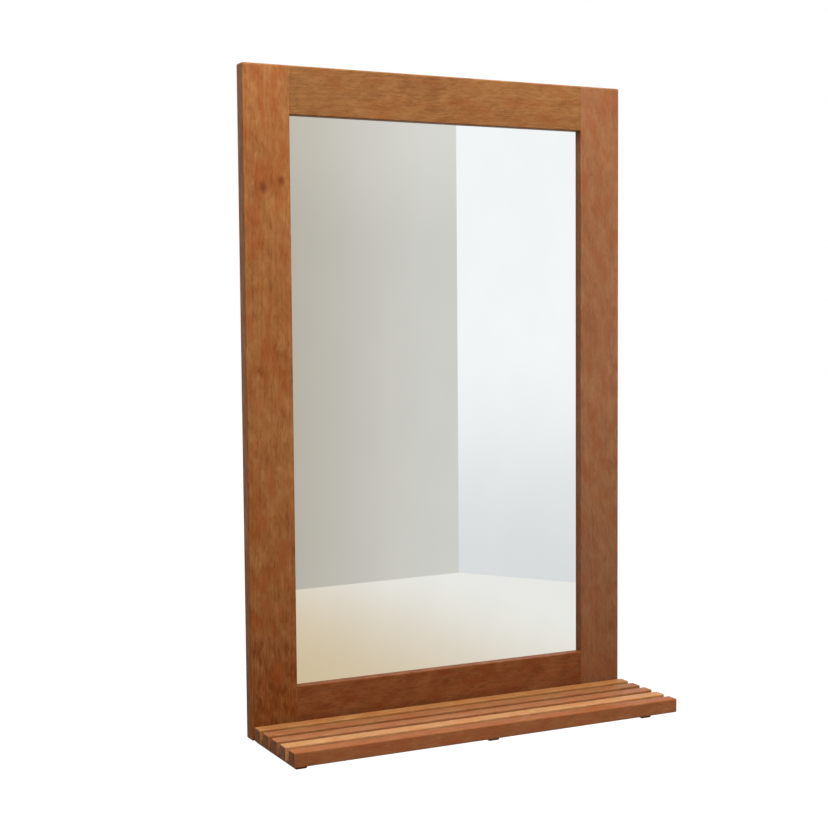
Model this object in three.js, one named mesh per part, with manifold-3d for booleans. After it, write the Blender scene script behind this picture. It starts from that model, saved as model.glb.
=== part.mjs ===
// A wall mirror in a hardwood frame, with a slatted shelf at its foot.
//
// Millimetres. +X is to the right as seen from the room, -Y points from the wall into the room,
// +Z is up. Pieces are laid out with z = 0 at the frame's bottom edge. The finished assembly is
// then lowered, so that its origin lies on the wall, midway between the two screws it hangs on.

import * as THREE from "three";
import { RoundedBoxGeometry } from "three/addons/geometries/RoundedBoxGeometry.js";
import { mergeVertices } from "three/addons/utils/BufferGeometryUtils.js";
import Module from "manifold-3d";

// ---------------------------------------------------------------- driving dimensions

// Frame: two stiles run the full height, and two rails are dowelled between them.
const frameWidth = 520;
const frameHeight = 800;
const frameThickness = 19;
const stileWidth = 58.5;
const topRailWidth = 57.5;
const bottomRailWidth = 59.5;
const frameArris = 2; // radius of the frame's outer edges, front and back
const openingChamfer = 0.8; // eases the front edge round the glass

// Glass and back panel lie in two stepped rebates, cut from behind.
const lipDepth = 7; // wood in front of the glass
const glassThickness = 4;
const glassLap = 9; // how far the first rebate runs under the lip
const glassPlay = 1; // from the pane's edge to the rebate's wall
const glassArris = 0.5; // ground edge of the pane
const panelThickness = 3;
const panelLap = 9; // how far the second rebate is wider than the first
const panelPlay = 0.5;

// Dowels, two in each joint.
const dowelDiameter = 8;
const dowelLength = 40;
const dowelChamfer = 1;
const dowelEndPlay = 1; // spare depth of the hole at each end, for glue

// Let-in keyhole plates, one behind each stile.
const hangDrop = 26; // from the frame's top edge down to the wall screws
const plateWidth = 16;
const plateHeight = 44;
const plateThickness = 2;
const plateCorner = 3;
const plateRise = 16; // from the wall screw up to the plate's top edge
const entryDiameter = 9.5; // lets the wall screw's head in
const slotWidth = 5; // holds the wall screw's shank
const slotTravel = 12; // from the entry's centre up to the shank's seat
const cavityWidth = 12; // room behind the plate for the screw's head
const cavityDepth = 7;
const plateScrewInset = 4.5; // from the plate's end to its screw

// Shelf: slats cross-halved over three notched bearers.
const slatCount = 5;
const slatDepth = 17;
const slatHeight = 17.5;
const slatGap = 10.5;
const slatArris = 2.5;
const slatStandoff = 8; // from the frame's face to the first slat
const shelfRise = 19; // from the frame's bottom edge up to the shelf's top
const lapDepth = 8.5; // how deep each slat is notched from below
const bearerWidth = 15;
const bearerDrop = 4.5; // how far the bearers hang below the slats
const bearerNotch = 5; // how deep each bearer is notched from above
const bearerArris = 2;
const bearerInsetLeft = 12.5; // from the shelf's left end to the left bearer's middle
const bearerInsetRight = 41; // the right bearer stands further in
const bearerSetback = 8; // from the shelf's front face to the bearers' ends

// Screws.
const slatScrew = { headDiameter: 5.6, headHeight: 1.8, shankDiameter: 3, length: 18, sink: 0.4 };
const slatScrewStagger = 3; // alternately left and right of the bearer's middle
const bearerScrew = { headDiameter: 8, headHeight: 2.6, shankDiameter: 4, length: 50, sink: 0.4 };
const bearerScrewHeight = 7; // above the frame's bottom edge
const plateScrew = { headDiameter: 6.4, headHeight: 1.6, shankDiameter: 3.5, length: 14, sink: 0.2 };
const panelScrew = { headDiameter: 6, headHeight: 2, shankDiameter: 3, length: 9 };
const panelScrewsPerSide = 3;
const panelScrewsPerEnd = 2;

// Clearances and facets.
const fit = 0.3; // round everything that sits in a hole, notch or recess
const spare = 2; // how far a cutting shape runs past the face it cuts
const roundSteps = 10; // sides of a screw or dowel
const curveSteps = 10; // facets on each arc of an outline
const arrisSteps = 2; // facets on each half of a rounded edge

// ---------------------------------------------------------------- derived places

const halfWidth = frameWidth / 2;
const openingHalf = halfWidth - stileWidth;
const openingBottom = bottomRailWidth;
const openingTop = frameHeight - topRailWidth;
const frontFace = -frameThickness;
const glassFront = frontFace + lipDepth;
const panelFront = glassFront + glassThickness;
const panelBack = panelFront + panelThickness;
const rebateWidth = glassLap + panelLap;

const hangHeight = frameHeight - hangDrop;
const hangerX = halfWidth - (stileWidth - rebateWidth) / 2;
const plateTop = plateRise;
const plateBottom = plateRise - plateHeight;

const slatPitch = slatDepth + slatGap;
const slatUnderside = shelfRise - slatHeight;
const lapHeight = slatUnderside + lapDepth; // the level where slat and bearer meet
const slatBack = (index) => frontFace - slatStandoff - index * slatPitch;
const shelfFront = slatBack(slatCount - 1) - slatDepth;
const bearerFront = shelfFront + bearerSetback;
const bearerTop = lapHeight + bearerNotch;
const bearerBottom = slatUnderside - bearerDrop;
const bearerPlaces = [
  ["left", bearerInsetLeft - halfWidth],
  ["middle", 0],
  ["right", halfWidth - bearerInsetRight],
];

// ---------------------------------------------------------------- solids

const wasm = await Module();
wasm.setup();

// A closed three.js geometry as a solid that can be cut and joined. Slivers that the merge
// folds up, such as those at a lathe's axis, are left out.
function toSolid(geometry) {
  const shell = geometry.clone();
  shell.deleteAttribute("normal");
  shell.deleteAttribute("uv");
  const merged = mergeVertices(shell);
  const corners = [];
  for (let i = 0; i < merged.index.count; i += 3) {
    const [a, b, c] = [0, 1, 2].map((step) => merged.index.getX(i + step));
    if (a !== b && b !== c && c !== a) {
      corners.push(a, b, c);
    }
  }
  return new wasm.Manifold(new wasm.Mesh({
    numProp: 3,
    vertProperties: merged.attributes.position.array,
    triVerts: Uint32Array.from(corners),
  }));
}

function toGeometry(solid) {
  const mesh = solid.getMesh();
  const geometry = new THREE.BufferGeometry();
  geometry.setAttribute("position", new THREE.BufferAttribute(mesh.vertProperties, 3));
  geometry.setIndex(new THREE.BufferAttribute(mesh.triVerts, 1));
  geometry.computeVertexNormals();
  return geometry;
}

const cutAll = (solid, cutters) => cutters.reduce((rest, cutter) => rest.subtract(cutter), solid);

function block([x0, x1], [y0, y1], [z0, z1]) {
  const geometry = new THREE.BoxGeometry(x1 - x0, y1 - y0, z1 - z0);
  geometry.translate((x0 + x1) / 2, (y0 + y1) / 2, (z0 + z1) / 2);
  return toSolid(geometry);
}

function roundedBlock([x0, x1], [y0, y1], [z0, z1], radius) {
  const geometry = new RoundedBoxGeometry(x1 - x0, y1 - y0, z1 - z0, arrisSteps, radius);
  geometry.translate((x0 + x1) / 2, (y0 + y1) / 2, (z0 + z1) / 2);
  return toSolid(geometry);
}

// A flat outline drawn in x and z as seen from the room, made thick from y = front to y = back.
function plateFromOutline(outline, front, back, edge = {}) {
  const bevel = edge.bevelThickness ?? 0;
  const geometry = new THREE.ExtrudeGeometry(outline, {
    depth: back - front - 2 * bevel,
    bevelEnabled: bevel > 0,
    curveSegments: curveSteps,
    ...edge,
  });
  geometry.translate(0, 0, bevel - back);
  geometry.rotateX(Math.PI / 2);
  return geometry;
}

function rectangle([x0, x1], [z0, z1]) {
  const outline = new THREE.Shape();
  outline.moveTo(x0, z0);
  outline.lineTo(x1, z0);
  outline.lineTo(x1, z1);
  outline.lineTo(x0, z1);
  outline.closePath();
  return outline;
}

// A turned piece whose axis is Z: each point of the profile is [radius, height].
function turned(profile, steps = roundSteps) {
  const points = profile.map(([radius, height]) => new THREE.Vector2(radius, height));
  return new THREE.LatheGeometry(points, steps).rotateX(Math.PI / 2);
}

// ---------------------------------------------------------------- screws and dowels

// A countersunk screw with its head's face at z = 0 and its point down -Z.
function countersunkScrew({ headDiameter, headHeight, shankDiameter, length }) {
  const shankRadius = shankDiameter / 2;
  return turned([
    [0, -length],
    [shankRadius * 0.3, -length],
    [shankRadius, -length + shankDiameter],
    [shankRadius, -headHeight],
    [headDiameter / 2, 0],
    [0, 0],
  ]);
}

// The hole for that screw, with its mouth open above the head.
function countersunkHole({ headDiameter, headHeight, shankDiameter, length, sink }) {
  const mouth = sink + spare;
  return turned([
    [0, -length - fit],
    [shankDiameter / 2 + fit, -length - fit],
    [shankDiameter / 2 + fit, -headHeight - fit],
    [headDiameter / 2 + fit, -fit],
    [headDiameter / 2 + fit, mouth],
    [0, mouth],
  ]);
}

// A pan-head screw: the underside of its head is at z = 0 and its point is down -Z.
function panScrew({ headDiameter, headHeight, shankDiameter, length }) {
  const headRadius = headDiameter / 2;
  const shankRadius = shankDiameter / 2;
  return turned([
    [0, -length],
    [shankRadius * 0.3, -length],
    [shankRadius, -length + shankDiameter],
    [shankRadius, 0],
    [headRadius, 0],
    [headRadius, headHeight * 0.45],
    [headRadius * 0.8, headHeight * 0.85],
    [headRadius * 0.4, headHeight],
    [0, headHeight],
  ]);
}

function panScrewHole({ shankDiameter, length }) {
  return turned([
    [0, -length - fit],
    [shankDiameter / 2 + fit, -length - fit],
    [shankDiameter / 2 + fit, spare],
    [0, spare],
  ]);
}

function dowel(length, radius, chamfer) {
  return turned([
    [0, -length / 2],
    [radius - chamfer, -length / 2],
    [radius, -length / 2 + chamfer],
    [radius, length / 2 - chamfer],
    [radius - chamfer, length / 2],
    [0, length / 2],
  ]);
}

// Turns from +Z to the way a screw's head looks, or a dowel lies.
const facingWall = (geometry) => geometry.rotateX(-Math.PI / 2);
const facingDown = (geometry) => geometry.rotateX(Math.PI);
const lyingAlongX = (geometry) => geometry.rotateY(Math.PI / 2);

const copyAt = (geometry, [x, y, z]) => geometry.clone().translate(x, y, z);
const solidsAt = (geometry, places) => places.map((place) => toSolid(copyAt(geometry, place)));

// ---------------------------------------------------------------- where the fasteners go

// Two dowels across the full-thickness wood of a rail, which spans z0 to z1. The outer one
// leaves room for the right bearer's screw.
function dowelHeights(z0, z1) {
  return [0.42, 0.8].map((share) => z0 + share * (z1 - z0));
}

const bottomDowels = dowelHeights(0, openingBottom - rebateWidth);
const topDowels = dowelHeights(frameHeight, openingTop + rebateWidth);
const dowelPlaces = [["top", topDowels], ["bottom", bottomDowels]].flatMap(([end, heights]) => (
  [["left", -openingHalf], ["right", openingHalf]].flatMap(([hand, x]) => (
    heights.map((z, row) => [`dowel_${end}_${hand}_${row + 1}`, [x, frontFace / 2, z]])
  ))
));

// Panel screws stand round the panel's edge, in the middle of the ledge that carries it.
function panelScrewPlaces() {
  const across = openingHalf + rebateWidth - panelLap / 2;
  const low = openingBottom - rebateWidth + panelLap / 2;
  const high = openingTop + rebateWidth - panelLap / 2;
  const places = [];
  for (let i = 0; i < panelScrewsPerSide; i += 1) {
    const z = low + ((i + 0.5) * (high - low)) / panelScrewsPerSide;
    places.push([-across, panelBack, z], [across, panelBack, z]);
  }
  for (let i = 0; i < panelScrewsPerEnd; i += 1) {
    const x = -across + ((i + 0.5) * 2 * across) / panelScrewsPerEnd;
    places.push([x, panelBack, low], [x, panelBack, high]);
  }
  return places;
}

// One screw from below at each crossing, staggered so that two never start the same split.
function slatScrewPlaces(x) {
  const places = [];
  for (let i = 0; i < slatCount; i += 1) {
    const stagger = i % 2 === 0 ? -slatScrewStagger : slatScrewStagger;
    const lapFront = Math.max(slatBack(i) - slatDepth, bearerFront);
    places.push([x + stagger, (slatBack(i) + lapFront) / 2, bearerBottom + slatScrew.sink]);
  }
  return places;
}

// A long screw from behind holds each bearer. It passes the first slat's screw on the other side.
const bearerScrewPlace = (x) => [x + slatScrewStagger, -bearerScrew.sink, bearerScrewHeight];

const plateScrewPlaces = [-hangerX, hangerX].flatMap((x) => [
  [x, -plateScrew.sink, hangHeight + plateTop - plateScrewInset],
  [x, -plateScrew.sink, hangHeight + plateBottom + plateScrewInset],
]);

const bearerScrewPlaces = bearerPlaces.map(([, x]) => bearerScrewPlace(x));
const bearerScrewHoles = solidsAt(facingWall(countersunkHole(bearerScrew)), bearerScrewPlaces);
const plateScrewHoles = solidsAt(facingWall(countersunkHole(plateScrew)), plateScrewPlaces);
const panelScrewHoles = solidsAt(facingWall(panScrewHole(panelScrew)), panelScrewPlaces());

// ---------------------------------------------------------------- frame

// A stepped recess behind the opening: first the pane's, then the wider one for the panel.
function rebate(lap, front) {
  const xs = [-openingHalf - lap, openingHalf + lap];
  const zs = [openingBottom - lap, openingTop + lap];
  return block(xs, [front, spare], zs);
}

// The eased front edge of the opening, as one flared plug.
function openingFlare() {
  const outline = rectangle([-openingHalf, openingHalf], [openingBottom, openingTop]);
  const flare = plateFromOutline(outline, frontFace - spare, frontFace + openingChamfer, {
    bevelThickness: openingChamfer,
    bevelSize: openingChamfer,
    bevelSegments: 1,
  });
  return toSolid(flare);
}

function dowelHoles() {
  const length = dowelLength + 2 * dowelEndPlay;
  const hole = lyingAlongX(dowel(length, dowelDiameter / 2 + fit, dowelChamfer));
  return solidsAt(hole, dowelPlaces.map(([, place]) => place));
}

// A keyhole's outline: a round entry below, and a slot up to the shank's seat at x = z = 0.
function keyholeOutline(Path) {
  const slotRadius = slotWidth / 2;
  const entryRadius = entryDiameter / 2;
  const mouth = Math.asin(slotRadius / entryRadius);
  const outline = new Path();
  outline.absarc(0, 0, slotRadius, 0, Math.PI, false);
  outline.absarc(0, -slotTravel, entryRadius, Math.PI / 2 + mouth, 2.5 * Math.PI - mouth, false);
  outline.closePath();
  return outline;
}

function roundedPlateOutline(grow) {
  const half = plateWidth / 2 + grow;
  const top = plateTop + grow;
  const bottom = plateBottom - grow;
  const outline = new THREE.Shape();
  outline.absarc(half - plateCorner, top - plateCorner, plateCorner, 0, Math.PI / 2, false);
  outline.absarc(plateCorner - half, top - plateCorner, plateCorner, Math.PI / 2, Math.PI, false);
  outline.absarc(plateCorner - half, bottom + plateCorner, plateCorner, Math.PI, 1.5 * Math.PI, false);
  outline.absarc(half - plateCorner, bottom + plateCorner, plateCorner, -Math.PI / 2, 0, false);
  outline.closePath();
  return outline;
}

// The pocket in a stile's back: a shallow bed for the plate, and a deeper round-ended cavity
// that the wall screw's head travels in.
function hangerPocket(x) {
  const bed = plateFromOutline(roundedPlateOutline(fit), -plateThickness, spare);
  const cavityRadius = cavityWidth / 2;
  const cavityOutline = new THREE.Shape();
  cavityOutline.absarc(0, 0, cavityRadius, 0, Math.PI, false);
  cavityOutline.absarc(0, -slotTravel, cavityRadius, Math.PI, 2 * Math.PI, false);
  cavityOutline.closePath();
  const cavity = plateFromOutline(cavityOutline, -plateThickness - cavityDepth, spare);
  const place = [x, 0, hangHeight];
  return toSolid(copyAt(bed, place)).add(toSolid(copyAt(cavity, place)));
}

const frameCuts = [
  rebate(glassLap, glassFront),
  rebate(rebateWidth, panelFront),
  openingFlare(),
  ...dowelHoles(),
  ...panelScrewHoles,
  ...bearerScrewHoles,
  ...plateScrewHoles,
  hangerPocket(-hangerX),
  hangerPocket(hangerX),
];

// Every member is cut out of one round-edged slab, so the rounded edge runs on across the joints.
const frameSlab = roundedBlock([-halfWidth, halfWidth], [frontFace, 0], [0, frameHeight], frameArris);

function frameMember(xs, zs) {
  const stock = block(xs, [frontFace - spare, spare], zs);
  return toGeometry(cutAll(stock.intersect(frameSlab), frameCuts));
}

const outside = halfWidth + spare;
const stileHeights = [-spare, frameHeight + spare];
const railLength = [-openingHalf, openingHalf];

// ---------------------------------------------------------------- mirror

function glassGeometry() {
  const half = openingHalf + glassLap - glassPlay - glassArris;
  const low = openingBottom - glassLap + glassPlay + glassArris;
  const high = openingTop + glassLap - glassPlay - glassArris;
  return plateFromOutline(rectangle([-half, half], [low, high]), glassFront, panelFront, {
    bevelThickness: glassArris,
    bevelSize: glassArris,
    bevelSegments: 1,
  });
}

function backPanelGeometry() {
  const half = openingHalf + rebateWidth - panelPlay;
  const low = openingBottom - rebateWidth + panelPlay;
  const high = openingTop + rebateWidth - panelPlay;
  const sheet = block([-half, half], [panelFront, panelBack], [low, high]);
  return toGeometry(cutAll(sheet, panelScrewHoles));
}

// ---------------------------------------------------------------- hanger plates

function hangerPlateGeometry(x) {
  const outline = roundedPlateOutline(0);
  outline.holes.push(keyholeOutline(THREE.Path));
  const sheet = plateFromOutline(outline, -plateThickness, 0);
  return toGeometry(cutAll(toSolid(copyAt(sheet, [x, 0, hangHeight])), plateScrewHoles));
}

// ---------------------------------------------------------------- shelf

const slatScrewHole = facingDown(countersunkHole(slatScrew));
const slatScrewHoles = bearerPlaces.flatMap(([, x]) => solidsAt(slatScrewHole, slatScrewPlaces(x)));

// A slat is notched from below over each bearer. The front slat's notches stop short of its
// face, because the bearers end inside it.
function slatGeometry(index) {
  const ys = [slatBack(index) - slatDepth, slatBack(index)];
  const bar = roundedBlock([-halfWidth, halfWidth], ys, [slatUnderside, shelfRise], slatArris);
  const notches = bearerPlaces.map(([, x]) => {
    const reach = bearerWidth / 2 + fit;
    return block([x - reach, x + reach], [bearerFront - fit, spare], [bearerBottom, lapHeight]);
  });
  return toGeometry(cutAll(bar, [...notches, ...slatScrewHoles]));
}

// A bearer stands square against the frame's face and is notched from above for every slat.
function bearerGeometry(x) {
  const xs = [x - bearerWidth / 2, x + bearerWidth / 2];
  const ys = [bearerFront, frontFace + bearerArris + spare];
  const bar = roundedBlock(xs, ys, [bearerBottom, bearerTop], bearerArris);
  const widerXs = [x - bearerWidth, x + bearerWidth];
  const beyondFace = block(widerXs, [frontFace, spare], [bearerBottom - spare, shelfRise]);
  const notches = [];
  for (let i = 0; i < slatCount; i += 1) {
    const notchYs = [slatBack(i) - slatDepth - fit, slatBack(i) + fit];
    notches.push(block(widerXs, notchYs, [lapHeight, shelfRise]));
  }
  return toGeometry(cutAll(bar, [beyondFace, ...notches, ...slatScrewHoles, ...bearerScrewHoles]));
}

// ---------------------------------------------------------------- materials

function hardwood(color, roughness = 0.5) {
  return new THREE.MeshStandardMaterial({ color, roughness, metalness: 0 });
}

const stileLeftWood = hardwood(0x9a643c);
const stileRightWood = hardwood(0x90583a);
const topRailWood = hardwood(0x9c6639);
const bottomRailWood = hardwood(0x7e4a2c);
const bearerWood = hardwood(0x7a4628, 0.6);
const slatWoods = [0xb67a4e, 0xb0714c, 0xb4785a, 0xc88e5e, 0xae7250].map((color) => hardwood(color));
const beech = new THREE.MeshStandardMaterial({ color: 0xd9b98c, roughness: 0.7, metalness: 0 });
const silvering = new THREE.MeshStandardMaterial({ color: 0xe4e8e6, roughness: 0.02, metalness: 1 });
const fibreboard = new THREE.MeshStandardMaterial({ color: 0x6b4a33, roughness: 0.85, metalness: 0 });
const zincedSteel = new THREE.MeshStandardMaterial({ color: 0xb9bcc0, roughness: 0.35, metalness: 1 });

// ---------------------------------------------------------------- assembly

function piece(name, geometry, material) {
  const mesh = new THREE.Mesh(geometry, material);
  mesh.name = name;
  return mesh;
}

function placedPiece(name, geometry, place, material) {
  const mesh = piece(name, geometry, material);
  mesh.position.set(...place);
  return mesh;
}

// Recentres a geometry, so that the piece stands on its own middle and its position places it.
function centredPiece(name, geometry, material) {
  geometry.computeBoundingBox();
  const middle = geometry.boundingBox.getCenter(new THREE.Vector3());
  const mesh = piece(name, geometry.translate(-middle.x, -middle.y, -middle.z), material);
  mesh.position.copy(middle);
  return mesh;
}

const frame = new THREE.Group();
frame.add(
  piece("stile_left", frameMember([-outside, -openingHalf], stileHeights), stileLeftWood),
  piece("stile_right", frameMember([openingHalf, outside], stileHeights), stileRightWood),
  piece("rail_top", frameMember(railLength, [openingTop, frameHeight + spare]), topRailWood),
  piece("rail_bottom", frameMember(railLength, [-spare, openingBottom]), bottomRailWood),
);
const oneDowel = lyingAlongX(dowel(dowelLength, dowelDiameter / 2, dowelChamfer));
for (const [name, place] of dowelPlaces) {
  frame.add(placedPiece(name, oneDowel, place, beech));
}

const mirror = new THREE.Group();
mirror.add(
  piece("mirror_glass", glassGeometry(), silvering),
  piece("back_panel", backPanelGeometry(), fibreboard),
);
const onePanelScrew = facingWall(panScrew(panelScrew));
panelScrewPlaces().forEach((place, i) => {
  mirror.add(placedPiece(`panel_screw_${i + 1}`, onePanelScrew, place, zincedSteel));
});

const hangers = new THREE.Group();
hangers.add(
  piece("hanger_plate_left", hangerPlateGeometry(-hangerX), zincedSteel),
  piece("hanger_plate_right", hangerPlateGeometry(hangerX), zincedSteel),
);
const onePlateScrew = facingWall(countersunkScrew(plateScrew));
plateScrewPlaces.forEach((place, i) => {
  hangers.add(placedPiece(`hanger_screw_${i + 1}`, onePlateScrew, place, zincedSteel));
});

const shelf = new THREE.Group();
for (let i = 0; i < slatCount; i += 1) {
  shelf.add(centredPiece(`slat_${i + 1}`, slatGeometry(i), slatWoods[i % slatWoods.length]));
}
const oneSlatScrew = facingDown(countersunkScrew(slatScrew));
const oneBearerScrew = facingWall(countersunkScrew(bearerScrew));
for (const [hand, x] of bearerPlaces) {
  shelf.add(centredPiece(`bearer_${hand}`, bearerGeometry(x), bearerWood));
  shelf.add(placedPiece(`bearer_screw_${hand}`, oneBearerScrew, bearerScrewPlace(x), zincedSteel));
  slatScrewPlaces(x).forEach((place, i) => {
    shelf.add(placedPiece(`slat_screw_${hand}_${i + 1}`, oneSlatScrew, place, zincedSteel));
  });
}

const group = new THREE.Group();
group.add(frame, mirror, hangers, shelf);
group.position.z = -hangHeight;

export default group;
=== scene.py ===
# %% [markdown]
# # A wall mirror with a slatted shelf
#
# The real object is a mirror in a frame of oiled, orange-brown hardwood, with a shelf of five slats
# at its foot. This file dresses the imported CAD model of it. The CAD gives every size and place, and
# the cells below give what the eye sees: eased edges, wood grain, screw recesses, silvering and light.
#
# Units are metres. The room is towards -Y, the wall is at Y = 0, and Z is up. The origin lies on the
# wall, midway between the two screws that the mirror hangs on.

# %% Load the frame
import math
import bmesh
import bpy
from mathutils import Matrix, Vector


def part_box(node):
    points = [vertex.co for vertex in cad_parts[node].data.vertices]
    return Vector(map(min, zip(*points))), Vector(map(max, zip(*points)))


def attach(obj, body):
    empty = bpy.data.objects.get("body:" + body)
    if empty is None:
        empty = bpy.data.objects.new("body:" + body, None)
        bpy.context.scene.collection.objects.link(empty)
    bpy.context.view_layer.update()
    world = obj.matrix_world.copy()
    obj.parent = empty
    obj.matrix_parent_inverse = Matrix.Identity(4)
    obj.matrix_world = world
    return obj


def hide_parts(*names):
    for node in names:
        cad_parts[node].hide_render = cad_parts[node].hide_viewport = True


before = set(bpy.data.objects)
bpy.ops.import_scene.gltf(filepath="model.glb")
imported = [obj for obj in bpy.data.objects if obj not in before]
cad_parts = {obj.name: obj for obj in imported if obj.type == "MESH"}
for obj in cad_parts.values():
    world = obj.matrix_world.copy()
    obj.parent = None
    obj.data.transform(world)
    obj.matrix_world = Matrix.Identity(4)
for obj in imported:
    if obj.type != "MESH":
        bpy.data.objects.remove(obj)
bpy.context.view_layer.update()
MM = 0.001

# %% [markdown]
# ## Small helpers for materials
#
# A Blender material is a tree of nodes. Adding one by hand takes a line to make it, a line for each
# setting and a line for each link. These helpers make a node in one line, so that each finish below
# reads like a recipe.

# %% Node helpers
def add(tree, kind, inputs=None, **settings):
    """Adds a node. An input gets a plain value, or a link when the value is another node's socket."""
    made = tree.nodes.new("ShaderNode" + kind)
    for setting, value in settings.items():
        setattr(made, setting, value)
    for socket_name, value in (inputs or {}).items():
        if isinstance(value, bpy.types.NodeSocket):
            tree.links.new(value, made.inputs[socket_name])
        else:
            made.inputs[socket_name].default_value = value
    return made


def calc(tree, operation, first, second=0.0):
    """One sum: ADD, MULTIPLY, MAXIMUM and so on."""
    return add(tree, "Math", {0: first, 1: second}, operation=operation).outputs[0]


def rescale(tree, value, low, high, to_low=0.0, to_high=1.0):
    """Maps low..high smoothly to to_low..to_high, and holds the ends."""
    sockets = {"Value": value, "From Min": low, "From Max": high, "To Min": to_low, "To Max": to_high}
    return add(tree, "MapRange", sockets, interpolation_type="SMOOTHSTEP").outputs["Result"]


def mix_colours(tree, share, first, second):
    """Mixes two colours; share 0 keeps the first."""
    return add(tree, "Mix", {0: share, 6: first, 7: second}, data_type="RGBA").outputs[2]


def new_material(name):
    """An empty material with its surface shader, and the tree to build it in."""
    material = bpy.data.materials.new(name)
    material.use_nodes = True
    tree = material.node_tree
    shader = tree.nodes["Principled BSDF"]
    return material, tree, shader


print("node helpers are ready")

# %% [markdown]
# ## Oiled hardwood
#
# Wood looks like wood because its pattern runs through the whole solid: long streaks on a face become
# dots on the end. A picture wrapped round the piece would break at every edge. So the pattern is built
# in the piece's own three dimensions, in layers that a joiner would name:
#
# - rings: rounds about the heart of the tree, a little cone-shaped, so a face shows arches and bands;
# - drift: wide paler and deeper stretches, longer than a hand;
# - ripple: patches a centimetre wide that lean across the board, where the fibres grew aslant;
# - mottle: soft clouds a centimetre wide and two long, where the grain dips in and out of the surface;
# - streaks and fibres: threads of two millimetres and of one, which run along the grain;
# - blush: reddish clouds, from the colour of the heartwood;
# - pores: fine dark dashes, cut open by the plane, which also dent the surface;
# - knots, which are dark, and which the rings flow round;
# - end grain, which drinks more oil and turns darker;
# - rubbed edges, where hands and cloths have thinned the oil.
#
# Every board gets its own place in the tree, so no two pieces share a pattern.

# %% Grain in three dimensions
stile_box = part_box("stile_left")
frame_foot, frame_top = stile_box[0].z, stile_box[1].z
GRAIN_TURNS = {"X": (0, -math.pi / 2, 0), "Y": (math.pi / 2, 0, 0), "Z": (0, 0, 0)}
GRAIN_WAYS = {"X": (1, 0, 0), "Y": (0, 1, 0), "Z": (0, 0, 1)}

# The patches of each layer: metres across the grain, metres along it, and how finely they break up.
PATCHES = {
    "sway": (0.045, 0.15, 2.0),
    "drift": (0.06, 0.2, 2.0),
    "ripple": (0.012, 0.055, 2.0),
    "mottle": (0.009, 0.019, 3.0),
    "streaks": (0.0022, 0.013, 3.0),
    "fibres": (0.0009, 0.007, 2.0),
    "blush": (0.013, 0.034, 2.0),
    "pores": (0.0006, 0.006, 1.0),
}
WANDER = 0.02  # how wide a path the pattern strays in, in metres


def stretched(tree, coordinates, across, along):
    """Coordinates in which a cell is so many metres wide across the grain and long along it."""
    by = (1 / across, 1 / across, 1 / along)
    return add(tree, "VectorMath", {0: coordinates, 1: by}, operation="MULTIPLY").outputs[0]


def cloud(tree, coordinates, across, along, detail=2.0):
    """Soft noise round 0.5, stretched along the grain."""
    sockets = {"Vector": stretched(tree, coordinates, across, along), "Scale": 1.0, "Detail": detail}
    return add(tree, "TexNoise", sockets)


def layer(tree, coordinates, name):
    """One layer of the wood, by its name in the table of patches."""
    return cloud(tree, coordinates, *PATCHES[name])


def tree_space(tree, own, along, tree_place):
    """Where each point of a board lay in the tree, with the trunk along Z.

    The trunk never grew straight, so the second result is pushed sideways by a slow wander.
    """
    turn = {"Vector": own.outputs["Object"], "Location": tree_place, "Rotation": GRAIN_TURNS[along]}
    board = add(tree, "Mapping", turn).outputs[0]
    sway = layer(tree, board, "sway").outputs["Color"]
    sway = add(tree, "VectorMath", {0: sway, 1: (0.5, 0.5, 0.5)}, operation="SUBTRACT").outputs[0]
    sway = add(tree, "VectorMath", {0: sway, "Scale": WANDER}, operation="SCALE").outputs[0]
    grown = add(tree, "VectorMath", {0: board, 1: sway}, operation="ADD").outputs[0]
    return board, grown


print("layers of the wood:", ", ".join(PATCHES))

# %% Rings and knots
TRUNK_TAPER = 0.035  # how far a ring comes in towards the heart for every metre up the trunk
RINGS_PER_METRE = 230.0
KNOT_HEIGHT = 0.62  # below 1 makes a knot taller than it is wide


def heart_distance(tree, grown):
    """How far each point is from the heart, plus a little for every metre up the trunk."""
    flat = add(tree, "SeparateXYZ", {0: grown})
    level = add(tree, "CombineXYZ", {0: flat.outputs[0], 1: flat.outputs[1]}).outputs[0]
    radius = add(tree, "VectorMath", {0: level}, operation="LENGTH").outputs["Value"]
    return calc(tree, "ADD", radius, calc(tree, "MULTIPLY", flat.outputs[2], TRUNK_TAPER))


def flow_round_knots(tree, own, radius, knots):
    """Bends the rings round each knot. The second result is 1 in a knot's middle and 0 away from it."""
    knot_dark = 0.0
    for x, z, size in knots:
        away = add(tree, "Mapping", {"Vector": own.outputs["Object"], "Location": (-x, 0, -z)})
        oval = {"Vector": away.outputs[0], "Scale": (1, 0, KNOT_HEIGHT)}
        far = add(tree, "Mapping", oval).outputs[0]
        far = add(tree, "VectorMath", {0: far}, operation="LENGTH").outputs["Value"]
        radius = calc(tree, "ADD", radius, rescale(tree, far, 0.0, size * 4, size * 1.4, 0.0))
        dark_here = rescale(tree, far, size * 0.2, size * 2.0, 1.0, 0.0)
        knot_dark = calc(tree, "MAXIMUM", dark_here, knot_dark)
    return radius, knot_dark


def growth_rings(tree, radius):
    """Bands of uneven width and strength, by the distance from the heart."""
    along_radius = calc(tree, "MULTIPLY", radius, RINGS_PER_METRE)
    sockets = {"W": along_radius, "Detail": 2.5, "Roughness": 0.6, "Scale": 1.0}
    return add(tree, "TexNoise", sockets, noise_dimensions="1D").outputs["Fac"]


print("rings lie about", round(1 / RINGS_PER_METRE / MM, 1), "mm apart")

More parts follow.
